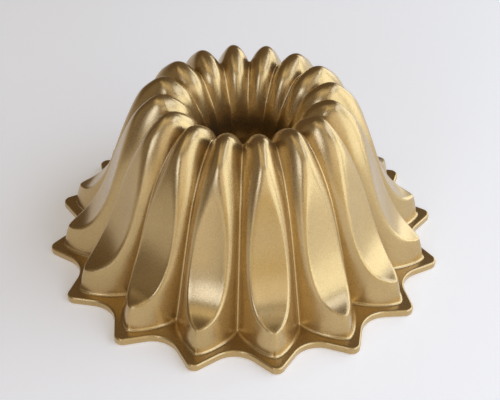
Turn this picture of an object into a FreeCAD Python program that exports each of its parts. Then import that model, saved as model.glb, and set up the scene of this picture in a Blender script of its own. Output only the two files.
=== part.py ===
import FreeCAD, Part
import math
import os

# Fluted ring cake pan (bundt pan), resting crown up on its rim.
# Units are millimetres.  +Z is up, the origin is on the table under the centre of the pan, and
# petal_01 faces -Y.  The real pan is one aluminium casting.  Its regions, which meet along the
# casting's own creases, are the nodes: the pointed rim flange, sixteen petals and the centre tube.

# --- driving dimensions -------------------------------------------------------------------------
PETALS = 16
WALL = 3.0                   # wall of the petals, along each cross-section
RIM_THICKNESS = 4.2
RIM_TIP_RADIUS = 105.0       # centre to the rounded point of the rim in front of each petal
RIM_VALLEY_RADIUS = 92.7     # centre to the bottom of the hollow between two points
RIM_TIP_FILLET = 4.3
RIM_VALLEY_FILLET = 14.0
RIM_TOP_ROUND = 1.2          # rounding of the rim's upper outer edge
RIM_FOOT_ROUND = 0.8         # rounding of its lower outer edge
TUBE_TOP = 50.0              # height where the flutes have run out into the round tube
TUBE_FOOT = 2.5              # the tube stops short of the table
TUBE_FOOT_RADIUS = 17.6      # bore radius at the tube's foot
TUBE_WALL = 3.0
TUBE_FOOT_ROUND = 1.2
SCOOP_SAG = 0.8              # hollow of the petal's front face across its width
SCOOP_HALF_WIDTH = 12.0      # of the cutter, wider than any petal's face
SCOOP_EDGE_ROUND = 1.2       # rounding along the edge of the front face
MIN_INNER_NOSE = 1.2         # smallest radius of the lining along a ridge

HALF_ANGLE = math.pi / PETALS
CLOSE_RADIUS = 52.0          # radius of the wall that closes the blank from below
OVERRUN = 5.0                # how far the cavity's cutter runs past the blank
SPANS = 4                    # spans of each face across a section
FLANK_REACH = 0.40           # handle of the section curve at the groove, against its chord
NOSE_CAP = 0.45              # longest handle at the ridge, against the section's half width
LINING_REACH = 0.45          # the same two handles for the lining
LINING_CAP = 0.30
LEAST_RISE = 0.05            # least rise that shapes the nose, against the half width
CORNER_SHARE = 1 / 6         # least share of the lining's chord in its corner at the groove
SEW_GAP = 1e-4
SAME_PLACE = 1e-6
SAME_KNOT = 1e-9
CORNER_ROUNDS = 20           # repeats that settle the angle of the rim's sides

# Cross-sections of one petal, from its foot over the crown and down into the hole.  Each one
# starts in the groove beside the petal and ends on the petal's ridge:
# (groove radius, groove height, lobe height, lean of the lobe from horizontal,
#  angle between groove wall and lobe axis, radius of the ridge's nose)
SECTIONS = (
    (78.3, 4.2, 20.7, 0, 11, 1.6),        # foot, on the rim
    (74.0, 17.5, 21.8, 0, 11, 1.8),       # top of the upright foot
    (69.9, 31.0, 18.3, 0, 12, 2.5),
    (64.5, 48.0, 14.0, 0, 14, 3.0),
    (57.2, 66.0, 11.3, 4, 16, 3.4),
    (50.3, 76.4, 10.3, 33, 19, 3.8),      # shoulder
    (43.7, 83.1, 10.3, 50, 20, 3.9),
    (39.1, 85.4, 9.4, 68, 22, 3.9),       # crown
    (34.8, 84.2, 5.8, 95, 31, 4.1),
    (30.4, 78.5, 3.9, 130, 41, 4.8),      # lip of the hole
    (25.4, 70.6, 1.6, 155, 62, 7.0),
)
THROAT_RADIUS = 20.9         # bore radius at TUBE_TOP, where the section is a plain circle

# Meridian line of the scooped front face, from beyond the petal's tip up to the crown
SCOOP_LINE = ((98.5, 17.0), (88.3, 20.4), (78.1, 31.9), (70.8, 48.4), (65.7, 64.0), (53.4, 95.0))


def vec(x, y, z):
    return FreeCAD.Vector(x, y, z)


ACROSS = vec(0, 1, 0)


def chord_parameters(points):
    lengths = [0.0]
    for a, b in zip(points, points[1:]):
        lengths.append(lengths[-1] + (b - a).Length)
    return [length / lengths[-1] for length in lengths]


class Section:
    """One cross-section of a petal's right half, in the plane of its lobe axis and ACROSS."""

    def __init__(self, radius, height, lobe, lean, entry, nose):
        lean = math.radians(lean)
        self.entry = math.radians(entry)
        self.axis = vec(math.cos(lean), 0, math.sin(lean))
        self.half = radius * math.sin(HALF_ANGLE)
        self.lobe = lobe
        self.nose = nose
        self.foot = vec(radius * math.cos(HALF_ANGLE), 0, height)
        self.groove = self.foot + ACROSS * self.half
        self.ridge = self.foot + self.axis * lobe
        self.wall_dir = self.axis * math.cos(self.entry) - ACROSS * math.sin(self.entry)
        self.normal = self.axis * math.sin(self.entry) + ACROSS * math.cos(self.entry)

    def nose_handle(self, start, ridge, reach, nose, cap):
        """Length of the handle that gives the curve this nose radius at the ridge."""
        rise = (ridge - start).dot(self.axis) - reach * math.cos(self.entry)
        rise = max(rise, LEAST_RISE * self.half)
        return min(math.sqrt(2 * nose * rise / 3), cap * self.half)

    def outer_poles(self):
        """Cubic Bezier poles from the groove to the ridge."""
        reach = FLANK_REACH * math.hypot(self.lobe, self.half)
        nose = self.nose_handle(self.groove, self.ridge, reach, self.nose, NOSE_CAP)
        return [self.groove, self.groove + self.wall_dir * reach,
                self.ridge + ACROSS * nose, self.ridge]

    def inner_poles(self):
        """Five poles of the lining: it rounds the groove and then follows the outer face."""
        slope = self.axis.x * math.tan(HALF_ANGLE)
        side = math.atan(slope)
        inward = self.axis * math.cos(side) + ACROSS * math.sin(side)
        along = self.axis * math.sin(side) - ACROSS * math.cos(side)
        turn = math.pi / 2 - self.entry - side
        start = self.groove - inward * WALL
        ridge = self.ridge - self.axis * WALL
        flank = self.groove - self.normal * WALL
        chord = (ridge - flank).Length
        corner = max(WALL * math.tan(turn / 2), CORNER_SHARE * chord)
        reach = LINING_REACH * chord
        nose = max(self.nose - WALL, MIN_INNER_NOSE)
        handle = self.nose_handle(flank, ridge, reach, nose, LINING_CAP)
        return [start, start + along * corner, flank + self.wall_dir * reach,
                ridge + ACROSS * handle, ridge]


def petal_sections():
    sections = [Section(*values) for values in SECTIONS]
    # the circular throat, written with the same terms as the lobed sections
    drop = THROAT_RADIUS * (math.cos(HALF_ANGLE) - 1)
    entry = 90 + math.degrees(HALF_ANGLE)
    sections.append(Section(THROAT_RADIUS, TUBE_TOP, drop, 180, entry, THROAT_RADIUS))
    return sections


def extended(rows):
    """Section poles with one more row run straight on past each end by OVERRUN."""
    first = [a + (a - b) * (OVERRUN / abs(a.z - b.z)) for a, b in zip(rows[0], rows[1])]
    last = [a - vec(0, 0, OVERRUN) for a in rows[-1]]
    return [first] + rows + [last]


def pole_curves(rows):
    """B-spline curves that run along the petal through each pole of its sections."""
    parameters = chord_parameters([row[0] for row in rows])
    curves = []
    for column in zip(*rows):
        curve = Part.BSplineCurve()
        curve.interpolate(Points=list(column), Parameters=parameters)
        curves.append(curve)
    return curves


def mirrored(point):
    return vec(point.x, -point.y, point.z)


def skin_face(curves, left):
    """Face swept by the section curve: along the petal in u and from groove to ridge in v."""
    columns = [curve.getPoles() for curve in curves]
    if left:
        columns = [[mirrored(point) for point in column] for column in columns]
    poles = [list(row) for row in zip(*columns)]
    inner_knots = len(columns) - 4
    v_knots = [float(i) for i in range(inner_knots + 2)]
    v_mults = [4] + [1] * inner_knots + [4]
    surface = Part.BSplineSurface()
    surface.buildFromPolesMultsKnots(poles, curves[0].getMultiplicities(), v_mults,
                                     curves[0].getKnots(), v_knots, False, False, 3, 3)
    # the shape stays the same, and shorter spans give exact volume integrals
    for knot in range(1, SPANS * (inner_knots + 1)):
        if knot % SPANS:
            surface.insertVKnot(knot / SPANS, 1, SAME_KNOT)
    return surface.toShape()


def polygon_edges(points):
    return [Part.LineSegment(a, b).toShape() for a, b in zip(points, points[1:])]


def closed_blank(rows, close_radius):
    """Solid under a petal's skin, closed by the two groove planes, a wall and two floors."""
    curves = pole_curves(rows)
    right = skin_face(curves, False)
    left = skin_face(curves, True)
    faces = [right, left]
    top_foot, throat = rows[0][0], rows[-1][0]
    x = close_radius * math.cos(HALF_ANGLE)
    y = close_radius * math.sin(HALF_ANGLE)
    low = vec(x, y, top_foot.z)
    high = vec(x, y, throat.z)
    groove = curves[0].toShape()
    side = Part.Face(Part.Wire([groove] + polygon_edges([throat, high, low, top_foot])))
    faces.append(side)
    faces.append(side.mirror(vec(0, 0, 0), ACROSS))
    for row, corner in ((rows[0], low), (rows[-1], high)):
        section = skin_edge(row)
        other = section.mirror(vec(0, 0, 0), ACROSS)
        lines = polygon_edges([mirrored(row[0]), mirrored(corner), corner, row[0]])
        faces.append(Part.Face(Part.Wire([section, other] + lines)))
    wall_points = [low, high, mirrored(high), mirrored(low), low]
    faces.append(Part.Face(Part.Wire(polygon_edges(wall_points))))
    return solid_from(faces)


def skin_edge(row):
    """The section curve through one row of poles."""
    inner_knots = len(row) - 4
    curve = Part.BSplineCurve()
    knots = [float(i) for i in range(inner_knots + 2)]
    curve.buildFromPolesMultsKnots(row, [4] + [1] * inner_knots + [4], knots, False, 3)
    return curve.toShape()


def solid_from(faces):
    shell = Part.Compound(faces)
    shell.sewShape(SEW_GAP)
    solid = Part.Solid(shell.Shells[0])
    if solid.Volume < 0:
        solid.reverse()
    return solid


def scoop_cutter(inset):
    """Everything in front of the scooped face, moved in by inset along the face's normal."""
    line = Part.BSplineCurve()
    points = [vec(r, 0, z) for r, z in SCOOP_LINE]
    line.interpolate(Points=points, Parameters=chord_parameters(points))
    moved = []
    for parameter in chord_parameters(points):
        point, tangent = line.value(parameter), line.tangent(parameter)[0]
        normal = vec(tangent.z, 0, -tangent.x)
        moved.append(point - normal * inset)
    profile = Part.BSplineCurve()
    profile.interpolate(Points=moved, Parameters=chord_parameters(points))
    middle = profile.getPoles()
    sag = SCOOP_SAG * 2
    rows = []
    for pole in middle:
        rim = pole + ACROSS * SCOOP_HALF_WIDTH
        rows.append([rim, pole - vec(sag, 0, 0), mirrored(rim)])
    surface = Part.BSplineSurface()
    surface.buildFromPolesMultsKnots(rows, profile.getMultiplicities(), [3, 3],
                                     profile.getKnots(), [0.0, 1.0], False, False, 3, 2)
    return surface.toShape().extrude(vec(2 * RIM_TIP_RADIUS, 0, 0))


def petal_blanks():
    sections = petal_sections()
    outer_rows = [section.outer_poles() for section in sections]
    inner_rows = extended([section.inner_poles() for section in sections])
    outer = closed_blank(outer_rows, CLOSE_RADIUS).cut(scoop_cutter(0))
    cavity = closed_blank(inner_rows, CLOSE_RADIUS - OVERRUN).cut(scoop_cutter(WALL))
    return outer, cavity


def petal():
    """One petal along +X: the blank, rounded along its front face and hollowed to a wall."""
    outer, cavity = petal_blanks()
    # the front face is the only one with just two edges
    front = min(outer.Faces, key=lambda face: len(face.Edges))
    return outer.makeFillet(SCOOP_EDGE_ROUND, front.Edges).cut(cavity)


def turned(shape, angle):
    """A copy of shape turned about the pan's axis by angle in degrees."""
    copy = shape.copy()
    copy.rotate(vec(0, 0, 0), vec(0, 0, 1), angle)
    return copy


def petal_angle(index):
    """Heading of a petal in degrees; index 0 faces -Y."""
    return -90 + 360 / PETALS * index


def polar(radius, angle, z=0.0):
    return vec(radius * math.cos(angle), radius * math.sin(angle), z)


def rim_corners():
    """Angle between a point's axis and its straight sides, from the radii and fillets."""
    tip, valley = RIM_TIP_RADIUS, RIM_VALLEY_RADIUS
    for _ in range(CORNER_ROUNDS):
        side = polar(valley, HALF_ANGLE) - vec(tip, 0, 0)
        angle = math.atan2(side.y, -side.x)
        tip = RIM_TIP_RADIUS + RIM_TIP_FILLET * (1 / math.sin(angle) - 1)
        valley = RIM_VALLEY_RADIUS - RIM_VALLEY_FILLET * (1 / math.sin(angle + HALF_ANGLE) - 1)
    return angle


def rim_outline():
    """Star outline: a convex arc at each point, a concave arc in each hollow, straight sides."""
    slope = math.pi / 2 - rim_corners()
    edges = []
    for index in range(PETALS):
        heading = math.radians(petal_angle(index))
        tip_centre = polar(RIM_TIP_RADIUS - RIM_TIP_FILLET, heading)
        valley_centre = polar(RIM_VALLEY_RADIUS + RIM_VALLEY_FILLET, heading + HALF_ANGLE)
        tip = [tip_centre + polar(RIM_TIP_FILLET, heading + turn) for turn in (-slope, 0, slope)]
        turns = (slope, HALF_ANGLE, 2 * HALF_ANGLE - slope)
        hollow = [valley_centre - polar(RIM_VALLEY_FILLET, heading + turn) for turn in turns]
        edges.append(Part.Arc(*tip).toShape())
        edges.append(Part.LineSegment(tip[-1], hollow[0]).toShape())
        edges.append(Part.Arc(*hollow).toShape())
        next_heading = heading + 2 * HALF_ANGLE
        next_tip = polar(RIM_TIP_RADIUS - RIM_TIP_FILLET, next_heading)
        next_start = next_tip + polar(RIM_TIP_FILLET, next_heading - slope)
        edges.append(Part.LineSegment(hollow[-1], next_start).toShape())
    return Part.Wire(edges)


def rim_mouth():
    """Opening of the rim: the lining's first section, repeated round the pan."""
    section = skin_edge(petal_sections()[0].inner_poles())
    pair = (section.mirror(vec(0, 0, 0), ACROSS), section)
    edges = [turned(edge, petal_angle(index)) for index in range(PETALS) for edge in pair]
    return Part.Wire(Part.__sortEdges__(edges))


def rim_flange():
    plate = Part.Face(rim_outline()).extrude(vec(0, 0, RIM_THICKNESS))
    for height, radius in ((RIM_THICKNESS, RIM_TOP_ROUND), (0.0, RIM_FOOT_ROUND)):
        edges = [edge for edge in plate.Edges
                 if all(abs(vertex.Z - height) < SAME_PLACE for vertex in edge.Vertexes)]
        plate = plate.makeFillet(radius, edges)
    mouth = Part.Face(rim_mouth()).extrude(vec(0, 0, -2 * RIM_THICKNESS))
    return plate.cut(mouth)


def centre_tube():
    profile = [vec(THROAT_RADIUS, 0, TUBE_TOP), vec(THROAT_RADIUS + TUBE_WALL, 0, TUBE_TOP),
               vec(TUBE_FOOT_RADIUS + TUBE_WALL, 0, TUBE_FOOT),
               vec(TUBE_FOOT_RADIUS, 0, TUBE_FOOT), vec(THROAT_RADIUS, 0, TUBE_TOP)]
    tube = Part.Face(Part.Wire(polygon_edges(profile))).revolve(vec(0, 0, 0), vec(0, 0, 1), 360)
    foot_edges = [edge for edge in tube.Edges
                  if abs(edge.BoundBox.ZMax - TUBE_FOOT) < SAME_PLACE and len(edge.Vertexes) == 1]
    return tube.makeFillet(TUBE_FOOT_ROUND, foot_edges)


def write(shape, name):
    solids = shape.Solids
    assert len(solids) == 1 and solids[0].isValid(), name
    solids[0].exportStep("parts/" + name + ".step")
    box = shape.optimalBoundingBox()
    print("%-12s %8.0f mm3  z %6.2f to %6.2f" % (name, solids[0].Volume, box.ZMin, box.ZMax))


def main():
    os.makedirs("parts", exist_ok=True)
    write(rim_flange(), "rim_flange")
    write(centre_tube(), "centre_tube")
    one = petal()
    for index in range(PETALS):
        write(turned(one, petal_angle(index)), "petal_%02d" % (index + 1))


main()
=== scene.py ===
import math
import bmesh
import bpy
import numpy as np
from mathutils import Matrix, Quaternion, Vector


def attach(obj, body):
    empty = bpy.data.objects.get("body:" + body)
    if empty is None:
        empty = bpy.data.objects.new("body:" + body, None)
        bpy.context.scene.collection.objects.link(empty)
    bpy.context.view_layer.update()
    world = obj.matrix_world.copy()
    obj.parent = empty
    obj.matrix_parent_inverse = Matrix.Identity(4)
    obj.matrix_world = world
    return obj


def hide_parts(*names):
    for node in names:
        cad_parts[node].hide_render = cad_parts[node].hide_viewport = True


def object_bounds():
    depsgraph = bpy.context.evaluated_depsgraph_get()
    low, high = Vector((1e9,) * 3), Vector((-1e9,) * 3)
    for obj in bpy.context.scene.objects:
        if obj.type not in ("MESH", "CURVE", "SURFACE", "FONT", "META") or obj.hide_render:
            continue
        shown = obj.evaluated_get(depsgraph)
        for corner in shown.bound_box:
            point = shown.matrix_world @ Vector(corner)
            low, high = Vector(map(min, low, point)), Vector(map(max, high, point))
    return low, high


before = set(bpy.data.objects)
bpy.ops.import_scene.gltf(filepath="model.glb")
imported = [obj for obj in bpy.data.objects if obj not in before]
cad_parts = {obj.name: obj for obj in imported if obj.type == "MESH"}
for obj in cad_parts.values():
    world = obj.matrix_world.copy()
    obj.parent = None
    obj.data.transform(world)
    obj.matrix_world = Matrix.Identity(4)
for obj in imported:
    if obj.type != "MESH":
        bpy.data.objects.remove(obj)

cad_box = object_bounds()

# Fluted ring cake pan, one casting, standing crown up on its pointed rim.  The meshes are worked
# out in millimetres and written in metres.  A petal is drawn along +X and then turned about +Z.
# It is drawn as a stack of cross sections that run up the wall, over the crown and into the throat.
MM = 0.001
PETALS = 16
HALF_ANGLE = math.pi / PETALS
FIRST_HEADING = -math.pi / 2          # petal_01 faces -Y
CROWN_TOP = cad_box[1][2] / MM        # no point of the skin rises past the CAD body
WALL = 3.0
RIM_THICKNESS = 4.2
RIM_TIP_RADIUS = 105.0
RIM_VALLEY_RADIUS = 92.7
RIM_TIP_FILLET = 4.3
RIM_VALLEY_FILLET = 14.0
RIM_TOP_ROUND = 1.2
RIM_FOOT_ROUND = 0.8
RIM_MOUTH_ROUND = 1.0
TUBE_TOP = 50.0
TUBE_FOOT = 2.5
TUBE_FOOT_RADIUS = 17.6
TUBE_WALL = 3.0
TUBE_FOOT_FLAT = 0.1                  # half the flat between the two rounded edges of its foot
THROAT_RADIUS = 20.9
SCOOP_SAG = 0.8                       # how much deeper the scoop is in its middle
SCOOP_HALF_WIDTH = 12.0
SCOOP_LIP_SLOPE = 3.3                 # run to drop of the scoop's line below its lower end
MIN_INNER_NOSE = 1.2
GROOVE_ROUND = 0.8                    # fillet at the bottom of the grooves
FOOT_ROUND = 1.5                      # fillet between the petals and the rim
EDGE_ROUND = 2.4                      # width of the rounding along a scoop's edge
LINING_ROUND = 2.0

# A flank leaves its groove straight for FLANK_REACH of its chord.  NOSE_CAP keeps the rounded
# ridge from growing wider than the petal, and LEAST_RISE, a share of the half width, keeps it
# from going flat.  The lining has its own reach and cap, and its corner by the groove takes at
# least one part in CORNER_SHARE of its chord.
FLANK_REACH = 0.40
NOSE_CAP = 0.45
LINING_REACH = 0.45
LINING_CAP = 0.3
LEAST_RISE = 0.05
CORNER_SHARE = 6

# Divisions of the meshes.  The leg rows are counts of rows between groove heights.
FILLET_STEPS = 6
FLANK_STEPS = 16
EDGE_STEPS = 10
FACE_STEPS = 10
INNER_STEPS = 22
FOOT_STEPS = 6
RIM_STEPS = 6
ROUND_STEPS = 5
TUBE_STEPS = 14
EDGE_ZONE = 1.9                       # half width of the finely divided strip along the edge
EDGE_MARGIN = 1.5                     # the strip's middle stays this many EDGE_ZONEs off the ridge
LEG_TOP, INNER_LEG_TOP = 83.0, 80.0   # groove heights where rows stop being set by height
OUTER_LEG_ROWS = (7, 15.0, 26, 22.0, 18, 34.0, 16, 56.0, 40, 78.0, 18, LEG_TOP)
INNER_LEG_ROWS = (14, 22.0, 26, INNER_LEG_TOP)
CREST = 7                             # the section at the top of the crown
CREST_ROWS, THROAT_ROWS, INNER_CROWN_ROWS = 44, 34, 40
LINE_SAMPLES, EDGE_SAMPLES, HEIGHT_SAMPLES = 600, 400, 1200

# Searches by repeated steps: where a groove's fillet starts, and the star's corner angle.
GROOVE_SEARCH_END = 0.6
HALVINGS = 40
OUTLINE_ROUNDS = 20

MERGE_DISTANCE = 1e-6
NORMAL_GRID = 2e-6                    # points of two pieces closer than this are one point

# groove radius, groove height, lobe height, lean, entry angle, nose radius
SECTIONS = (
    (78.3, 4.2, 20.7, 0, 11, 1.6),
    (74.0, 17.5, 21.8, 0, 11, 1.8),
    (69.9, 31.0, 18.3, 0, 12, 2.5),
    (64.5, 48.0, 14.0, 0, 14, 3.0),
    (57.2, 66.0, 11.3, 4, 16, 3.4),
    (50.3, 76.4, 10.3, 33, 19, 3.8),
    (43.7, 83.1, 10.3, 50, 20, 3.9),
    (39.1, 85.4, 9.4, 68, 22, 3.9),
    (34.8, 84.2, 5.8, 95, 31, 4.1),
    (30.4, 78.5, 3.9, 130, 41, 4.8),
    (25.4, 70.6, 1.6, 155, 62, 7.0),
    (THROAT_RADIUS, TUBE_TOP, THROAT_RADIUS * (math.cos(HALF_ANGLE) - 1), 180,
     90 + math.degrees(HALF_ANGLE), THROAT_RADIUS),
)
# radius and height along the scooped face, on the petal's mid plane
SCOOP_LINE = ((98.5, 17.0), (88.3, 20.4), (78.1, 31.9), (70.8, 48.4), (65.7, 64.0), (53.4, 95.0))
ACROSS = np.array((0.0, 1.0, 0.0))
SIDE_NORMAL = np.array((-math.sin(HALF_ANGLE), math.cos(HALF_ANGLE), 0.0))

# Finish.  Colours are linear, and noise scales are per metre.
GOLD_DARK = (0.50, 0.345, 0.142)
GOLD_LIGHT = (0.58, 0.408, 0.178)
GOLD_ROUGHNESS = 0.28
FLAKE_DARK = (0.89, 0.89, 0.89)
FLAKE_LIGHT = (1.11, 1.11, 1.11)
FLAKE_SCALE, GRAIN_SCALE, PEEL_SCALE, DRIFT_SCALE = 3000.0, 1500.0, 700.0, 38.0
FLOOR_DARK = (0.93, 0.92, 0.90)
FLOOR_LIGHT = (0.96, 0.95, 0.93)
FLOOR_GLOW = 0.22
FLOOR_HALF_SIZE = 12.0
FLOOR_GAP = 0.0002                    # the floor lies just below the rim

# Camera, in metres and degrees.
CAMERA_DISTANCE = 0.5730
CAMERA_AZIMUTH = -99.28
CAMERA_ELEVATION = 39.97
CAMERA_AIM = (0.0027, -0.0005, 0.0242)
CAMERA_ROLL = 1.05
CAMERA_LENS = 74.52

# Lights: soft walls in front of the pan and to its right, and a dim warm room.
LIGHT_DISTANCE = 1.3
LIGHT_AIM = (0.0, 0.0, 0.05)
ROOM_COLOUR = (1.0, 0.69, 0.43, 1.0)
ROOM_STRENGTH = 0.14
WHITE = (1.0, 1.0, 1.0)
WARM = (1.0, 0.95, 0.76)
AMBER = (1.0, 0.82, 0.30)
COOL = (0.88, 1.0, 1.13)
DAYLIGHT = (0.84, 1.0, 1.42)
# name, turn to the right of the camera, elevation, width and height in metres, radiance, colour
LIGHTS = (
    ("wall_right_near", 50, 19, 0.85, 0.80, 2.0, COOL),
    ("wall_right", 92, 19, 0.85, 0.80, 2.2, COOL),
    ("wall_right_rear", 130, 19, 0.70, 0.80, 2.1, COOL),
    ("wall_front", 14, 24, 0.65, 0.60, 1.05, WHITE),
    ("low_front", 16, 5, 0.75, 0.30, 0.55, AMBER),
    ("window_front", -27, 26, 0.36, 0.46, 2.9, DAYLIGHT),
    ("low_window", -16, 5, 0.60, 0.30, 0.95, WHITE),
    ("upper_right", 75, 50, 1.40, 0.40, 1.9, DAYLIGHT),
    ("upper_front", -14, 55, 1.00, 0.45, 0.80, WARM),
    ("top_box", 30, 72, 0.60, 0.50, 0.40, WARM),
    ("upper_left", -62, 60, 0.70, 0.45, 0.50, WARM),
    ("left_wall", -78, 22, 0.80, 0.70, 0.12, WARM),
)


# --- curves -------------------------------------------------------------------------------------
def chord_parameters(points):
    steps = np.linalg.norm(np.diff(points, axis=0), axis=1)
    lengths = np.concatenate(([0.0], np.cumsum(steps)))
    return lengths / lengths[-1]


def end_slope(t, p):
    """Slope at t[0] of the parabola through the first three points."""
    a, b = t[1] - t[0], t[2] - t[0]
    return (p[1] - p[0]) * (b / (a * (b - a))) - (p[2] - p[0]) * (a / (b * (b - a)))


class Spline:
    """Smooth cubic curve through points p at parameters t."""

    def __init__(self, t, p):
        self.t = np.asarray(t, float)
        self.p = np.asarray(p, float)
        n = len(self.t)
        h = np.diff(self.t)
        slopes = np.diff(self.p, axis=0) / h[:, None]
        matrix = np.zeros((n, n))
        right = np.zeros_like(self.p)
        matrix[0, 0] = matrix[-1, -1] = 1.0
        right[0] = end_slope(self.t, self.p)
        right[-1] = end_slope(self.t[::-1], self.p[::-1])
        for i in range(1, n - 1):
            matrix[i, i - 1:i + 2] = h[i], 2 * (h[i - 1] + h[i]), h[i - 1]
            right[i] = 3 * (h[i] * slopes[i - 1] + h[i - 1] * slopes[i])
        self.m = np.linalg.solve(matrix, right)

    def __call__(self, x):
        i = int(np.clip(np.searchsorted(self.t, x) - 1, 0, len(self.t) - 2))
        h = self.t[i + 1] - self.t[i]
        s = (x - self.t[i]) / h
        a = (1 + 2 * s) * (1 - s) ** 2 * self.p[i] + s * s * (3 - 2 * s) * self.p[i + 1]
        return a + h * (s * (1 - s) ** 2 * self.m[i] - s * s * (1 - s) * self.m[i + 1])


def bezier(poles, u):
    u = np.asarray(u, float)[:, None]
    v = 1 - u
    return (v ** 3 * poles[0] + 3 * v * v * u * poles[1]
            + 3 * v * u * u * poles[2] + u ** 3 * poles[3])


def bezier_slope(poles, u):
    u = np.asarray(u, float)[:, None]
    d = np.diff(poles, axis=0)
    return 3 * ((1 - u) ** 2 * d[0] + 2 * (1 - u) * u * d[1] + u * u * d[2])


def b_spline5(poles, u):
    """Clamped cubic B-spline with five poles and one knot halfway."""
    u = np.asarray(u, float)[:, None] * 2
    w, x = np.clip(u, 0, 1), np.clip(u - 1, 0, 1)
    p = poles
    mid_a = (p[1] + p[2]) / 2
    mid_b = (p[2] + p[3]) / 2
    joint = (mid_a + mid_b) / 2
    first = ((1 - w) ** 3 * p[0] + 3 * (1 - w) ** 2 * w * p[1]
             + 3 * (1 - w) * w * w * mid_a + w ** 3 * joint)
    second = ((1 - x) ** 3 * joint + 3 * (1 - x) ** 2 * x * mid_b
              + 3 * (1 - x) * x * x * p[3] + x ** 3 * p[4])
    return np.where(u <= 1, first, second)


# --- one petal ----------------------------------------------------------------------------------
def lobe_axis(lean):
    return np.array((math.cos(lean), 0.0, math.sin(lean)))


def nose_handle(rise, half, nose, cap):
    """Length of the ridge's handle that gives its end the radius nose."""
    return min(math.sqrt(2 * nose * max(rise, LEAST_RISE * half) / 3), cap * half)


def outer_poles(section):
    """Four Bezier poles from the groove to the ridge."""
    radius, height, lobe, lean, entry, nose = section
    axis, entry = lobe_axis(math.radians(lean)), math.radians(entry)
    half = radius * math.sin(HALF_ANGLE)
    foot = np.array((radius * math.cos(HALF_ANGLE), 0.0, height))
    groove, ridge = foot + ACROSS * half, foot + axis * lobe
    reach = FLANK_REACH * math.hypot(lobe, half)
    handle = nose_handle(lobe - reach * math.cos(entry), half, nose, NOSE_CAP)
    wall_dir = axis * math.cos(entry) - ACROSS * math.sin(entry)
    return np.array((groove, groove + wall_dir * reach, ridge + ACROSS * handle, ridge))


def inner_poles(poles, lean, nose):
    """Poles of the lining at a section whose outer poles are given."""
    axis = lobe_axis(lean)
    groove, ridge = poles[0], poles[3]
    wall_dir = poles[1] - poles[0]
    wall_dir = wall_dir / np.linalg.norm(wall_dir)
    entry = math.atan2(-wall_dir[1], wall_dir @ axis)
    normal = axis * math.sin(entry) + ACROSS * math.cos(entry)
    side = math.atan(axis[0] * math.tan(HALF_ANGLE))
    inward = axis * math.cos(side) + ACROSS * math.sin(side)
    along = axis * math.sin(side) - ACROSS * math.cos(side)
    start, new_ridge, flank = groove - inward * WALL, ridge - axis * WALL, groove - normal * WALL
    chord = np.linalg.norm(new_ridge - flank)
    corner = max(WALL * math.tan((math.pi / 2 - entry - side) / 2), chord / CORNER_SHARE)
    reach = LINING_REACH * chord
    rise = (new_ridge - flank) @ axis - reach * math.cos(entry)
    handle = nose_handle(rise, groove[1], max(nose - WALL, MIN_INNER_NOSE), LINING_CAP)
    return np.array((start, start + along * corner, flank + wall_dir * reach,
                     new_ridge + ACROSS * handle, new_ridge))


section_rows = np.array([outer_poles(s) for s in SECTIONS])
stations = chord_parameters(section_rows[:, 0])
pole_spline = Spline(stations, section_rows.reshape(len(SECTIONS), 12))
lean_spline = Spline(stations, np.radians([[s[3]] for s in SECTIONS]))
nose_spline = Spline(stations, [[s[5]] for s in SECTIONS])


class ScoopLine:
    """How far out the scooped face is at a point's height and distance from the mid plane."""

    def __init__(self, inset):
        points = np.array(SCOOP_LINE)
        line = Spline(chord_parameters(points), points)
        curve = np.array([line(x) for x in np.linspace(0, 1, LINE_SAMPLES)])
        slope = np.gradient(curve, axis=0)
        slope /= np.linalg.norm(slope, axis=1)[:, None]
        normal = np.stack((slope[:, 1], -slope[:, 0]), axis=1)
        curve = curve - inset * normal
        self.radius, self.height = curve[:, 0], curve[:, 1]

    def __call__(self, points):
        x = np.interp(points[:, 2], self.height, self.radius)
        below = np.clip(self.height[0] - points[:, 2], 0, None)
        sag = SCOOP_SAG * (1 - (points[:, 1] / SCOOP_HALF_WIDTH) ** 2)
        return x + SCOOP_LIP_SLOPE * below - sag


def soft_min(a, b, width):
    """The smaller of a and b, rounded where they are closer than width."""
    near = np.clip(width - np.abs(a - b), 0, None) / width
    return np.minimum(a, b) - near * near * width / 4


def cut_back(points, line, width):
    """Points beyond the scooped face moved back onto it, with a rounded edge."""
    out = points.copy()
    out[:, 0] = soft_min(points[:, 0], line(points), width)
    return out


OUTER_SCOOP = ScoopLine(0.0)
INNER_SCOOP = ScoopLine(WALL)


def groove_tangent(poles, axis, swell, radius):
    """Parameter where the groove's fillet leaves the flank, with the fillet's centre."""
    low, high = 0.0, GROOVE_SEARCH_END
    for _ in range(HALVINGS):
        u = (low + high) / 2
        point, normal = offset_frame(poles, axis, u)
        centre = point + normal * (swell + radius)
        if centre @ SIDE_NORMAL > 0:
            low = u
        else:
            high = u
    return u, centre, normal


def offset_frame(poles, axis, u):
    """Point of a section and the unit normal there, within the section's plane."""
    point = bezier(poles, [u])[0]
    slope = bezier_slope(poles, [u])[0]
    along, across = slope @ axis, slope[1]
    normal = -across * axis + along * ACROSS
    return point, normal / np.linalg.norm(normal)


def edge_parameter(poles):
    """Where the scoop's edge crosses this section, or 1 if it doesn't."""
    u = np.linspace(0, 1, EDGE_SAMPLES)
    points = bezier(poles, u)
    depth = points[:, 0] - OUTER_SCOOP(points)
    if depth.max() <= 0:
        return 1.0
    i = int(np.argmax(depth > 0))
    return u[i] - (u[i] - u[i - 1]) * depth[i] / (depth[i] - depth[i - 1])


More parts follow.
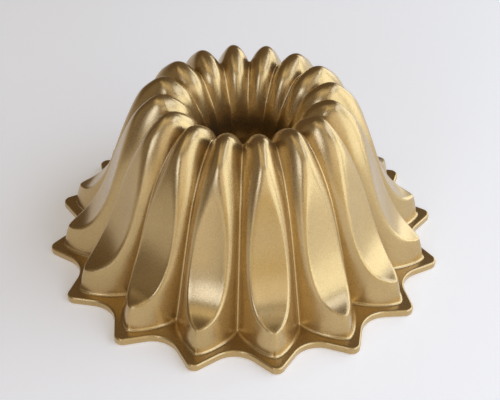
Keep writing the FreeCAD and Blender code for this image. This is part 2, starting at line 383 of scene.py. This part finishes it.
def outer_section(t, swell=0.0):
    """Points from the groove to the ridge or the middle of the scoop, moved out by swell."""
    poles = pole_spline(t).reshape(4, 3)
    axis = lobe_axis(lean_spline(t)[0])
    start, centre, normal = groove_tangent(poles, axis, swell, GROOVE_ROUND)
    side = math.atan(axis[0] * math.tan(HALF_ANGLE))
    first = math.pi + side
    last = math.atan2(-normal[1], -normal @ axis)
    last += 2 * math.pi if last < 0 else 0
    turns = np.linspace(first, last, FILLET_STEPS + 1)[:-1, None]
    arc = centre + GROOVE_ROUND * (np.cos(turns) * axis + np.sin(turns) * ACROSS)
    edge = edge_parameter(poles)
    zone = EDGE_ZONE / np.linalg.norm(bezier_slope(poles, [edge])[0])
    edge = min(edge, 1 - EDGE_MARGIN * zone)
    u = np.concatenate((np.linspace(start, edge - zone, FLANK_STEPS + 1)[:-1],
                        np.linspace(edge - zone, edge + zone, EDGE_STEPS + 1)[:-1],
                        np.linspace(edge + zone, 1, FACE_STEPS + 1)))
    points = bezier(poles, u)
    slope = bezier_slope(poles, u)
    normals = -slope[:, 1:2] * axis + (slope @ axis)[:, None] * ACROSS
    normals /= np.linalg.norm(normals, axis=1)[:, None]
    points = points + normals * swell
    points[-1, 1] = 0.0
    points = np.concatenate((arc, points))
    return cut_back(points, OUTER_SCOOP, EDGE_ROUND)


def inner_section(t):
    """Points of the lining from the groove plane to the ridge or the middle of the scoop."""
    poles = inner_poles(pole_spline(t).reshape(4, 3), lean_spline(t)[0], nose_spline(t)[0])
    points = b_spline5(poles, np.linspace(0, 1, INNER_STEPS + 1))
    points[-1, 1] = 0.0
    return cut_back(points, INNER_SCOOP, LINING_ROUND)


def heights_to_parameters():
    """Station parameters and groove heights, from the rim up to the crown."""
    t = np.linspace(0, 1, HEIGHT_SAMPLES)
    heights = np.array([pole_spline(x)[2] for x in t])
    crown = np.argmax(heights)
    return t[:crown], heights[:crown]


leg_parameters, leg_heights = heights_to_parameters()


def at_height(z):
    """Station parameter where the groove has the height z, on its way up."""
    return np.interp(z, leg_heights, leg_parameters)


def spread(*stops):
    """Values from (start, steps, end, steps, end ...), evenly divided between the stops."""
    values = [np.array([stops[0]])]
    for i in range(1, len(stops), 2):
        values.append(np.linspace(stops[i - 1], stops[i + 1], stops[i] + 1)[1:])
    return np.concatenate(values)


def petal_outer_rows():
    """Sections from the fillet on the rim to the throat."""
    rows = []
    for turn in np.linspace(0, math.pi / 2, FOOT_STEPS + 1)[:-1]:
        height = FOOT_ROUND * (1 - math.cos(turn))
        swell = FOOT_ROUND * (1 - math.sin(turn))
        rows.append(outer_section(at_height(RIM_THICKNESS + height), swell))
    foot_top = RIM_THICKNESS + FOOT_ROUND
    leg = at_height(spread(foot_top, *OUTER_LEG_ROWS))
    crown = spread(at_height(LEG_TOP), CREST_ROWS, stations[CREST], THROAT_ROWS, 1.0)
    parameters = np.concatenate((leg, crown[1:]))
    rows = np.array(rows + [outer_section(t) for t in parameters])
    rows[..., 2] = np.minimum(rows[..., 2], CROWN_TOP)
    return rows


def petal_inner_rows():
    """Sections of the lining from the rim to the throat."""
    leg = at_height(spread(RIM_THICKNESS, *INNER_LEG_ROWS))
    crown = spread(at_height(INNER_LEG_TOP), INNER_CROWN_ROWS, 1.0)
    return np.array([inner_section(t) for t in np.concatenate((leg, crown[1:]))])


# --- meshes -------------------------------------------------------------------------------------
def with_mirror(rows):
    """Full-width rows from rows that run from the groove to the mid plane."""
    other = rows[:, ::-1] * np.array((1.0, -1.0, 1.0))
    return np.concatenate((rows, other[:, 1:]), axis=1)


def grid_faces(rows, columns, start=0, flip=False, closed=False):
    faces = []
    last = columns if closed else columns - 1
    for i in range(rows - 1):
        for j in range(last):
            k = (j + 1) % columns
            a, b = start + i * columns + j, start + i * columns + k
            c, d = b + columns, a + columns
            faces.append((a, d, c, b) if flip else (a, b, c, d))
    return faces


class Shell:
    """Points and faces of one piece.  Faces marked hidden are the joints inside the casting."""

    def __init__(self):
        self.points, self.faces, self.hidden = [], [], []
        self.count = 0

    def add(self, points, faces, hidden=False):
        self.faces += [tuple(i + self.count for i in face) for face in faces]
        self.hidden += [hidden] * len(faces)
        self.points.append(np.asarray(points).reshape(-1, 3))
        self.count += len(self.points[-1])
        return self.count - len(self.points[-1])

    def add_grid(self, rows, flip=False, closed=False, hidden=False):
        r, c = rows.shape[:2]
        return self.add(rows, grid_faces(r, c, 0, flip, closed), hidden)

    def all_points(self):
        return np.concatenate(self.points)


def petal_shell(outer, inner):
    """One closed petal along +X: skin, lining and the four joint faces."""
    shell = Shell()
    shell.add_grid(outer)
    shell.add_grid(inner, flip=True)
    for column, flip in ((0, True), (-1, False)):
        shell.add(*strip(outer[:, column], inner[:, column], flip), hidden=True)
    shell.add(*strip(outer[0], inner[0], False), hidden=True)
    shell.add(*strip(outer[-1], inner[-1], True), hidden=True)
    return shell


def strip(a, b, flip):
    """Triangles between two open rows that may differ in their number of points."""
    points = np.concatenate((a, b))
    ta, tb = chord_parameters(a), chord_parameters(b)
    faces, i, j = [], 0, 0
    while i < len(a) - 1 or j < len(b) - 1:
        step_a = j == len(b) - 1 or (i < len(a) - 1 and ta[i + 1] <= tb[j + 1])
        face = (i, len(a) + j, i + 1) if step_a else (i, len(a) + j, len(a) + j + 1)
        faces.append(face[::-1] if flip else face)
        i, j = (i + 1, j) if step_a else (i, j + 1)
    return points, faces


def turned(points, angle):
    """Points turned about the pan's axis."""
    c, s = math.cos(angle), math.sin(angle)
    x, y, z = points[..., 0], points[..., 1], points[..., 2]
    return np.stack((c * x - s * y, s * x + c * y, z), axis=-1)


def heading(index):
    """Direction of a petal, counted from 0 and anticlockwise from above."""
    return FIRST_HEADING + 2 * HALF_ANGLE * index


def around(row):
    """A row that spans one petal, repeated round the pan as a closed loop."""
    return np.concatenate([turned(row[::-1][:-1], heading(i)) for i in range(PETALS)])


def rim_side_angle():
    """Angle between a point's axis and its straight sides, from the radii and fillets."""
    tip, valley = RIM_TIP_RADIUS, RIM_VALLEY_RADIUS
    for _ in range(OUTLINE_ROUNDS):
        x = tip - valley * math.cos(HALF_ANGLE)
        angle = math.atan2(valley * math.sin(HALF_ANGLE), x)
        tip = RIM_TIP_RADIUS + RIM_TIP_FILLET * (1 / math.sin(angle) - 1)
        valley = RIM_VALLEY_RADIUS - RIM_VALLEY_FILLET * (1 / math.sin(angle + HALF_ANGLE) - 1)
    return angle


def rim_outline(inset, columns):
    """Half a star point from the hollow to the tip, set in from the outline."""
    slope = math.pi / 2 - rim_side_angle()
    tip_steps = columns // 3
    hollow_steps = columns // 2
    side_steps = columns - tip_steps - hollow_steps
    tip_centre = np.array((RIM_TIP_RADIUS - RIM_TIP_FILLET, 0, 0))
    hollow_centre = (RIM_VALLEY_RADIUS + RIM_VALLEY_FILLET) * np.array(
        (math.cos(HALF_ANGLE), math.sin(HALF_ANGLE), 0))
    hollow = [hollow_centre - (RIM_VALLEY_FILLET + inset) * direction(a)
              for a in np.linspace(HALF_ANGLE, slope, hollow_steps + 1)]
    tip = [tip_centre + (RIM_TIP_FILLET - inset) * direction(a)
           for a in np.linspace(slope, 0, tip_steps + 1)]
    side = [hollow[-1] + (tip[0] - hollow[-1]) * s for s in np.linspace(0, 1, side_steps + 1)[1:-1]]
    return np.array(hollow + side + tip)


def direction(angle):
    return np.array((math.cos(angle), math.sin(angle), 0.0))


def rim_shell(outer_foot, inner_foot):
    """The pointed flange, with its rounded edges and the lobed mouth."""
    shell = Shell()
    columns = len(outer_foot) // 2
    foot_ring = around(outer_foot)

    def star(inset, z):
        half = rim_outline(inset, columns)[None]
        ring = around(with_mirror(half)[0])
        ring[:, 2] = z
        return ring

    first = star(RIM_TOP_ROUND, RIM_THICKNESS)
    rings = [foot_ring + (first - foot_ring) * s for s in np.linspace(0, 1, RIM_STEPS + 1)]
    for turn in np.linspace(0, math.pi / 2, RIM_STEPS + 1)[1:]:
        rings.append(star(RIM_TOP_ROUND * (1 - math.sin(turn)),
                          RIM_THICKNESS - RIM_TOP_ROUND * (1 - math.cos(turn))))
    for turn in np.linspace(0, math.pi / 2, ROUND_STEPS + 1):
        rings.append(star(RIM_FOOT_ROUND * (1 - math.cos(turn)),
                          RIM_FOOT_ROUND * (1 - math.sin(turn))))
    shell.add_grid(np.array(rings), closed=True)
    mouth = around(inner_foot)
    inward = mouth_normals(mouth)
    low_rings = []
    for turn in np.linspace(0, math.pi / 2, ROUND_STEPS + 1):
        ring = mouth - inward * RIM_MOUTH_ROUND * (1 - math.sin(turn))
        ring[:, 2] = RIM_MOUTH_ROUND * (1 - math.cos(turn))
        low_rings.append(ring)
    low_rings.append(mouth)
    shell.add_grid(np.array(low_rings), closed=True)
    add_ring_joint(shell, rings[-1], low_rings[0], hidden=False)
    add_ring_joint(shell, foot_ring, mouth, hidden=True)
    return shell


def mouth_normals(ring):
    """Unit vectors in the ring's plane that point into the cavity."""
    along = np.roll(ring, -1, axis=0) - np.roll(ring, 1, axis=0)
    normals = np.stack((-along[:, 1], along[:, 0], np.zeros(len(ring))), axis=1)
    return normals / np.linalg.norm(normals, axis=1)[:, None]


def add_ring_joint(shell, ring_a, ring_b, hidden):
    """Triangles between two closed rings, petal by petal."""
    step_a, step_b = len(ring_a) // PETALS, len(ring_b) // PETALS
    for i in range(PETALS):
        a = ring_a[np.arange(i * step_a, (i + 1) * step_a + 1) % len(ring_a)]
        b = ring_b[np.arange(i * step_b, (i + 1) * step_b + 1) % len(ring_b)]
        shell.add(*strip(a, b, False), hidden=hidden)


def at_radius(ring, radius, z):
    """The ring moved straight in or out to a radius and a height."""
    out = ring.copy()
    out[:, :2] *= (radius / np.linalg.norm(ring[:, :2], axis=1))[:, None]
    out[:, 2] = z
    return out


def tube_shell(outer_throat, inner_throat):
    """The plain cone below the flutes, rounded at its foot."""
    shell = Shell()
    bore, lining = around(outer_throat), around(inner_throat)
    taper = (THROAT_RADIUS - TUBE_FOOT_RADIUS) / (TUBE_TOP - TUBE_FOOT)
    foot_round = TUBE_WALL / 2 - TUBE_FOOT_FLAT
    bore_rings, lining_rings = [bore], [lining]

    def add_rings(z, inset):
        bore_radius = TUBE_FOOT_RADIUS + taper * (z - TUBE_FOOT)
        bore_rings.append(at_radius(bore, bore_radius + inset, z))
        lining_rings.append(at_radius(lining, bore_radius + TUBE_WALL - inset, z))

    for z in np.linspace(TUBE_TOP, TUBE_FOOT + foot_round, TUBE_STEPS + 1)[1:]:
        add_rings(z, 0.0)
    for turn in np.linspace(0, math.pi / 2, ROUND_STEPS + 1)[1:]:
        add_rings(TUBE_FOOT + foot_round * (1 - math.sin(turn)), foot_round * (1 - math.cos(turn)))
    shell.add_grid(np.array(bore_rings), closed=True)
    shell.add_grid(np.array(lining_rings), closed=True)
    add_ring_joint(shell, bore_rings[-1], lining_rings[-1], hidden=False)
    add_ring_joint(shell, bore, lining, hidden=True)
    return shell


def new_mesh(name, shell, angle):
    """A merged mesh with outward faces.  The attribute joint marks its hidden faces."""
    points = turned(shell.all_points(), angle) * MM
    data = bpy.data.meshes.new(name)
    data.from_pydata(points.tolist(), [], shell.faces)
    mark = data.attributes.new("joint", "INT", "FACE")
    mark.data.foreach_set("value", np.array(shell.hidden, dtype=np.int32))
    work = bmesh.new()
    work.from_mesh(data)
    bmesh.ops.remove_doubles(work, verts=work.verts, dist=MERGE_DISTANCE)
    bmesh.ops.recalc_face_normals(work, faces=work.faces)
    work.to_mesh(data)
    work.free()
    return data


def face_table(data):
    """Vertex and face of each corner, with the normal, area and joint mark of each face."""
    count = len(data.loops)
    vertex = np.empty(count, dtype=np.int64)
    data.loops.foreach_get("vertex_index", vertex)
    totals = np.empty(len(data.polygons), dtype=np.int64)
    data.polygons.foreach_get("loop_total", totals)
    normals = np.empty(len(data.polygons) * 3)
    data.polygons.foreach_get("normal", normals)
    areas = np.empty(len(data.polygons))
    data.polygons.foreach_get("area", areas)
    joint = np.empty(len(data.polygons), dtype=np.int32)
    data.attributes["joint"].data.foreach_get("value", joint)
    face = np.repeat(np.arange(len(totals)), totals)
    return vertex, face, normals.reshape(-1, 3), areas, joint > 0


def share_normals(meshes):
    """One smooth normal at each point where pieces of the casting meet, so no seam shows."""
    tables = [face_table(data) for data in meshes]
    keys, weights = [], []
    for data, (vertex, face, normals, areas, joint) in zip(meshes, tables):
        places = np.empty(len(data.vertices) * 3)
        data.vertices.foreach_get("co", places)
        grid = np.round(places.reshape(-1, 3) / NORMAL_GRID).astype(np.int64)
        keys.append(grid[vertex])
        weights.append(normals[face] * (areas[face] * ~joint[face])[:, None])
    keys, weights = np.concatenate(keys), np.concatenate(weights)
    _, index = np.unique(keys, axis=0, return_inverse=True)
    index = index.reshape(-1)
    total = np.stack([np.bincount(index, weights[:, i]) for i in range(3)], axis=1)
    total /= np.maximum(np.linalg.norm(total, axis=1), 1e-20)[:, None]
    start = 0
    for data, (vertex, face, normals, areas, joint) in zip(meshes, tables):
        own = total[index[start:start + len(vertex)]]
        own = np.where(joint[face][:, None], normals[face], own)
        start += len(vertex)
        data.polygons.foreach_set("use_smooth", np.ones(len(data.polygons), dtype=bool))
        data.normals_split_custom_set(own.tolist())


# --- materials ----------------------------------------------------------------------------------
def shader_nodes(name):
    material = bpy.data.materials.new(name)
    material.use_nodes = True
    tree = material.node_tree
    return material, tree, tree.nodes["Principled BSDF"]


def add_node(tree, kind, **inputs):
    node = tree.nodes.new(kind)
    for key, value in inputs.items():
        node.inputs[key.replace("_", " ")].default_value = value
    return node


def noise(tree, place, scale, detail, roughness=0.5):
    node = add_node(tree, "ShaderNodeTexNoise", Scale=scale, Detail=detail, Roughness=roughness)
    tree.links.new(place, node.inputs["Vector"])
    return node.outputs["Fac"]


def ramp(tree, value, stops):
    node = tree.nodes.new("ShaderNodeValToRGB")
    elements = node.color_ramp.elements
    while len(elements) < len(stops):
        elements.new(0.5)
    for element, (position, colour) in zip(elements, stops):
        element.position = position
        element.color = (*colour, 1.0)
    tree.links.new(value, node.inputs["Fac"])
    return node.outputs["Color"]


def remap(tree, value, low, high):
    node = tree.nodes.new("ShaderNodeMapRange")
    node.inputs["To Min"].default_value = low
    node.inputs["To Max"].default_value = high
    tree.links.new(value, node.inputs["Value"])
    return node.outputs["Result"]


def mix(tree, mode, amount, a, b):
    node = tree.nodes.new("ShaderNodeMix")
    node.data_type = "RGBA"
    node.blend_type = mode
    for socket, value in ((node.inputs[0], amount), (node.inputs[6], a), (node.inputs[7], b)):
        if isinstance(value, bpy.types.NodeSocket):
            tree.links.new(value, socket)
        else:
            socket.default_value = value
    return node.outputs[2]


def enamel(name, dark, light, roughness):
    """Satin metallic enamel: two golds in fine flakes, slow drifts of tone, faint orange peel."""
    material, tree, shader = shader_nodes(name)
    place = tree.nodes.new("ShaderNodeTexCoord").outputs["Object"]
    drift = noise(tree, place, DRIFT_SCALE, 3.0)
    flakes = tree.nodes.new("ShaderNodeTexVoronoi")
    flakes.inputs["Scale"].default_value = FLAKE_SCALE
    tree.links.new(place, flakes.inputs["Vector"])
    grain = noise(tree, place, GRAIN_SCALE, 2.0, 0.6)
    base = ramp(tree, drift, ((0.30, dark), (0.70, light)))
    flake_tone = ramp(tree, flakes.outputs["Color"], ((0.0, FLAKE_DARK), (1.0, FLAKE_LIGHT)))
    colour = mix(tree, "MULTIPLY", 1.0, base, flake_tone)
    tree.links.new(colour, shader.inputs["Base Color"])
    satin = remap(tree, grain, roughness - 0.05, roughness + 0.07)
    tree.links.new(satin, shader.inputs["Roughness"])
    shader.inputs["Metallic"].default_value = 0.92
    shader.inputs["Coat Weight"].default_value = 0.55
    shader.inputs["Coat Roughness"].default_value = 0.20
    peel = noise(tree, place, PEEL_SCALE, 2.0)
    bump = add_node(tree, "ShaderNodeBump", Strength=0.035, Distance=0.0002)
    tree.links.new(peel, bump.inputs["Height"])
    tree.links.new(bump.outputs["Normal"], shader.inputs["Normal"])
    return material


def plain_floor(name):
    """Matt, almost white, with a little light of its own that keeps the shadow soft."""
    material, tree, shader = shader_nodes(name)
    place = tree.nodes.new("ShaderNodeTexCoord").outputs["Object"]
    drift = noise(tree, place, 3.0, 2.0)
    tone = ramp(tree, drift, ((0.0, FLOOR_DARK), (1.0, FLOOR_LIGHT)))
    tree.links.new(tone, shader.inputs["Base Color"])
    shader.inputs["Roughness"].default_value = 0.9
    shader.inputs["Emission Color"].default_value = (1, 1, 1, 1)
    shader.inputs["Emission Strength"].default_value = FLOOR_GLOW
    return material


# --- pieces -------------------------------------------------------------------------------------
def show(name, data, node, material):
    """A piece of the casting in the scene, in place of its CAD node."""
    piece = bpy.data.objects.new(name, data)
    bpy.context.scene.collection.objects.link(piece)
    data.materials.append(material)
    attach(piece, "root")
    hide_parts(node)
    return piece


def build_pan():
    """The rim, the tube and sixteen equal petals, shaded as one casting."""
    outer, inner = with_mirror(petal_outer_rows()), with_mirror(petal_inner_rows())
    one = petal_shell(outer, inner)
    gold = enamel("gold_enamel", GOLD_DARK, GOLD_LIGHT, GOLD_ROUGHNESS)
    parts = [("rim", "rim_flange", "rim_enamel", rim_shell(outer[0], inner[0]), 0.0),
             ("tube", "centre_tube", "tube_enamel", tube_shell(outer[-1], inner[-1]), 0.0)]
    for i in range(PETALS):
        number = "%02d" % (i + 1)
        parts.append(("petal_skin_" + number, "petal_" + number, "petal_enamel", one, heading(i)))
    meshes = [new_mesh(name, shell, angle) for name, _, _, shell, angle in parts]
    share_normals(meshes)
    for (name, node, slot_name, _, _), data in zip(parts, meshes):
        show(name, data, node, gold)


def build_floor():
    half = FLOOR_HALF_SIZE
    data = bpy.data.meshes.new("floor")
    corners = [(-half, -half, 0), (half, -half, 0), (half, half, 0), (-half, half, 0)]
    data.from_pydata(corners, [], [(0, 1, 2, 3)])
    floor = bpy.data.objects.new("floor", data)
    bpy.context.scene.collection.objects.link(floor)
    data.materials.append(plain_floor("pale_floor"))
    floor.location.z = -FLOOR_GAP


# --- light and camera ---------------------------------------------------------------------------
def aimed(thing, place, target):
    """Put a light or a camera at a place, facing the target."""
    thing.location = place
    thing.rotation_euler = (Vector(target) - Vector(place)).to_track_quat("-Z", "Y").to_euler()


def softbox(name, turn, elevation, width, height, radiance, colour):
    """A rectangular light at a turn to the right of the camera, facing the pan."""
    light = bpy.data.lights.new(name, "AREA")
    light.shape = "RECTANGLE"
    light.size, light.size_y = width, height
    light.energy = math.pi * width * height * radiance
    light.color = colour
    holder = bpy.data.objects.new(name, light)
    bpy.context.scene.collection.objects.link(holder)
    aimed(holder, polar_place(LIGHT_DISTANCE, CAMERA_AZIMUTH + turn, elevation), LIGHT_AIM)


def polar_place(distance, azimuth, elevation):
    """Place at a distance from the pan, in degrees round it and above it."""
    a, e = math.radians(azimuth), math.radians(elevation)
    return (distance * math.cos(e) * math.cos(a), distance * math.cos(e) * math.sin(a),
            distance * math.sin(e))


def build_lights():
    """The softboxes of the table, in a room of one dim warm tone."""
    world = bpy.data.worlds.new("studio")
    bpy.context.scene.world = world
    world.use_nodes = True
    background = world.node_tree.nodes["Background"]
    background.inputs["Color"].default_value = ROOM_COLOUR
    background.inputs["Strength"].default_value = ROOM_STRENGTH
    for light in LIGHTS:
        softbox(*light)


def build_camera():
    """A long lens that looks down at the pan, rolled a little."""
    camera = bpy.data.cameras.new("camera")
    camera.lens = CAMERA_LENS
    camera.clip_start = 0.01
    holder = bpy.data.objects.new("camera", camera)
    bpy.context.scene.collection.objects.link(holder)
    aimed(holder, polar_place(CAMERA_DISTANCE, CAMERA_AZIMUTH, CAMERA_ELEVATION), CAMERA_AIM)
    roll = Quaternion((0, 0, 1), math.radians(CAMERA_ROLL))
    turn = holder.rotation_euler.to_quaternion() @ roll
    holder.rotation_euler = turn.to_euler()
    bpy.context.scene.camera = holder


build_pan()
build_floor()
build_lights()
build_camera()
bpy.context.scene.view_settings.view_transform = "Standard"

bpy.context.view_layer.update()
